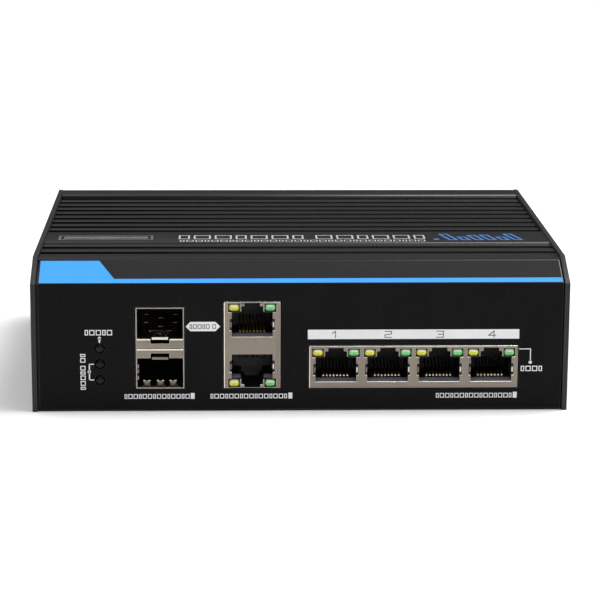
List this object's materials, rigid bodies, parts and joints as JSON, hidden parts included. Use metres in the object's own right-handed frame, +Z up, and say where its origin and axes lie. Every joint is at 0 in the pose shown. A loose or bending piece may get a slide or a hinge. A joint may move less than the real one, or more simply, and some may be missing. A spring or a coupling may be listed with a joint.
{
  "type": "industrial network switch",
  "caption": "Compact black network switch with a ribbed aluminium housing, modular copper sockets, a stacked optical cage and indicator lamps.",
  "frame": {"origin": "centre of the flat underside of the case, midway between the end plates and between the case's front and back", "axes": "+X to the right seen from the front, along the longest side; +Y from the front to the back; +Z up from the underside"},
  "size_m": [0.1574, 0.1325, 0.0442],
  "materials": {
    "housing_aluminium": "black anodised extrusion, fine satin",
    "plate_paint": "matt black powder coat",
    "overlay_film": "printed polycarbonate film, fine matt texture",
    "board_laminate": "green solder mask",
    "zinc_steel": "bright zinc plated",
    "black_screw": "black oxide",
    "chip_epoxy": "moulded epoxy",
    "sink_aluminium": "black anodised",
    "ferrite": "bare ferrite",
    "capacitor_sleeve": "shrink sleeve",
    "lamp_smoke": "unlit lamp resin",
    "socket_plastic": "moulded black",
    "nickel_sheet": "nickel plated sheet",
    "contact_gold": "gold plated spring wire",
    "lamp_yellow": "tinted diffusing resin",
    "lamp_green": "tinted diffusing resin",
    "terminal_green": "moulded green"
  },
  "bodies": {
    "case": {"base_pan": "plate_paint", "board_screw_1": "zinc_steel", "board_screw_2": "zinc_steel", "board_screw_3": "zinc_steel", "board_screw_4": "zinc_steel", "bulk_capacitor": "capacitor_sleeve", "chip_heatsink": "sink_aluminium", "combo_insert": "socket_plastic", "combo_lower_led_green": "lamp_green", "combo_lower_led_yellow": "lamp_yellow", "combo_shield": "nickel_sheet", "combo_upper_led_green": "lamp_green", "combo_upper_led_yellow": "lamp_yellow", "end_plate_screw_1": "black_screw", "end_plate_screw_2": "black_screw", "end_plate_screw_3": "black_screw", "end_plate_screw_4": "black_screw", "end_plate_screw_5": "black_screw", "end_plate_screw_6": "black_screw", "end_plate_screw_7": "black_screw", "end_plate_screw_8": "black_screw", "front_overlay": "overlay_film", "ground_screw": "zinc_steel", "ground_washer": "zinc_steel", "heatsink_housing": "housing_aluminium", "indicator_holder": "socket_plastic", "indicator_led_1": "lamp_smoke", "indicator_led_2": "lamp_smoke", "indicator_led_3": "lamp_smoke", "lan_1_led_green": "lamp_green", "lan_1_led_yellow": "lamp_yellow", "lan_2_led_green": "lamp_green", "lan_2_led_yellow": "lamp_yellow", "lan_3_led_green": "lamp_green", "lan_3_led_yellow": "lamp_yellow", "lan_4_led_green": "lamp_green", "lan_4_led_yellow": "lamp_yellow", "lan_insert": "socket_plastic", "lan_shield": "nickel_sheet", "left_end_plate": "plate_paint", "main_board": "board_laminate", "power_header": "terminal_green", "power_inductor": "ferrite", "right_end_plate": "plate_paint", "sfp_cage": "nickel_sheet", "sfp_connector": "socket_plastic", "switch_chip": "chip_epoxy"},
    "plug": {"power_plug": "terminal_green"},
    "terminal_screw_1": {"plug_screw_1": "zinc_steel"},
    "terminal_screw_2": {"plug_screw_2": "zinc_steel"},
    "terminal_screw_3": {"plug_screw_3": "zinc_steel"},
    "terminal_screw_4": {"plug_screw_4": "zinc_steel"},
    "latch_upper": {"sfp_latch_upper": "nickel_sheet"},
    "latch_lower": {"sfp_latch_lower": "nickel_sheet"},
    "contacts_1": {"lan_contacts_1": "contact_gold"},
    "contacts_2": {"lan_contacts_2": "contact_gold"},
    "contacts_3": {"lan_contacts_3": "contact_gold"},
    "contacts_4": {"lan_contacts_4": "contact_gold"},
    "contacts_upper": {"combo_contacts_upper": "contact_gold"},
    "contacts_lower": {"combo_contacts_lower": "contact_gold"}
  },
  "joints": [
    {"name": "plug_pull", "type": "slide", "parent": "case", "child": "plug", "axis": [0, 1, 0], "range_m": [0, 0.011]},
    {"name": "terminal_screw_1_turn", "type": "hinge", "parent": "plug", "child": "terminal_screw_1", "pos_m": [0.02638, 0.0664, 0.013], "axis": [0, 0, 1], "continuous": true},
    {"name": "terminal_screw_2_turn", "type": "hinge", "parent": "plug", "child": "terminal_screw_2", "pos_m": [0.03146, 0.0664, 0.013], "axis": [0, 0, 1], "continuous": true},
    {"name": "terminal_screw_3_turn", "type": "hinge", "parent": "plug", "child": "terminal_screw_3", "pos_m": [0.03654, 0.0664, 0.013], "axis": [0, 0, 1], "continuous": true},
    {"name": "terminal_screw_4_turn", "type": "hinge", "parent": "plug", "child": "terminal_screw_4", "pos_m": [0.04162, 0.0664, 0.013], "axis": [0, 0, 1], "continuous": true},
    {"name": "latch_upper_press", "type": "hinge", "parent": "case", "child": "latch_upper", "pos_m": [-0.0412, -0.0514, 0.02177], "axis": [1, 0, 0], "range_deg": [0, 5], "stiffness_Nm_per_rad": 0.02},
    {"name": "latch_lower_press", "type": "hinge", "parent": "case", "child": "latch_lower", "pos_m": [-0.0412, -0.0514, 0.01623], "axis": [-1, 0, 0], "range_deg": [0, 5], "stiffness_Nm_per_rad": 0.02},
    {"name": "contacts_1_press", "type": "hinge", "parent": "case", "child": "contacts_1", "pos_m": [0.01031, -0.0582, 0.0098], "axis": [-1, 0, 0], "range_deg": [0, 12], "stiffness_Nm_per_rad": 0.02},
    {"name": "contacts_2_press", "type": "hinge", "parent": "case", "child": "contacts_2", "pos_m": [0.02555, -0.0582, 0.0098], "axis": [-1, 0, 0], "range_deg": [0, 12], "stiffness_Nm_per_rad": 0.02},
    {"name": "contacts_3_press", "type": "hinge", "parent": "case", "child": "contacts_3", "pos_m": [0.04079, -0.0582, 0.0098], "axis": [-1, 0, 0], "range_deg": [0, 12], "stiffness_Nm_per_rad": 0.02},
    {"name": "contacts_4_press", "type": "hinge", "parent": "case", "child": "contacts_4", "pos_m": [0.05603, -0.0582, 0.0098], "axis": [-1, 0, 0], "range_deg": [0, 12], "stiffness_Nm_per_rad": 0.02},
    {"name": "contacts_upper_press", "type": "hinge", "parent": "case", "child": "contacts_upper", "pos_m": [-0.01425, -0.0582, 0.02345], "axis": [-1, 0, 0], "range_deg": [0, 12], "stiffness_Nm_per_rad": 0.02},
    {"name": "contacts_lower_press", "type": "hinge", "parent": "case", "child": "contacts_lower", "pos_m": [-0.01425, -0.0582, 0.01615], "axis": [1, 0, 0], "range_deg": [0, 12], "stiffness_Nm_per_rad": 0.02}
  ]
}
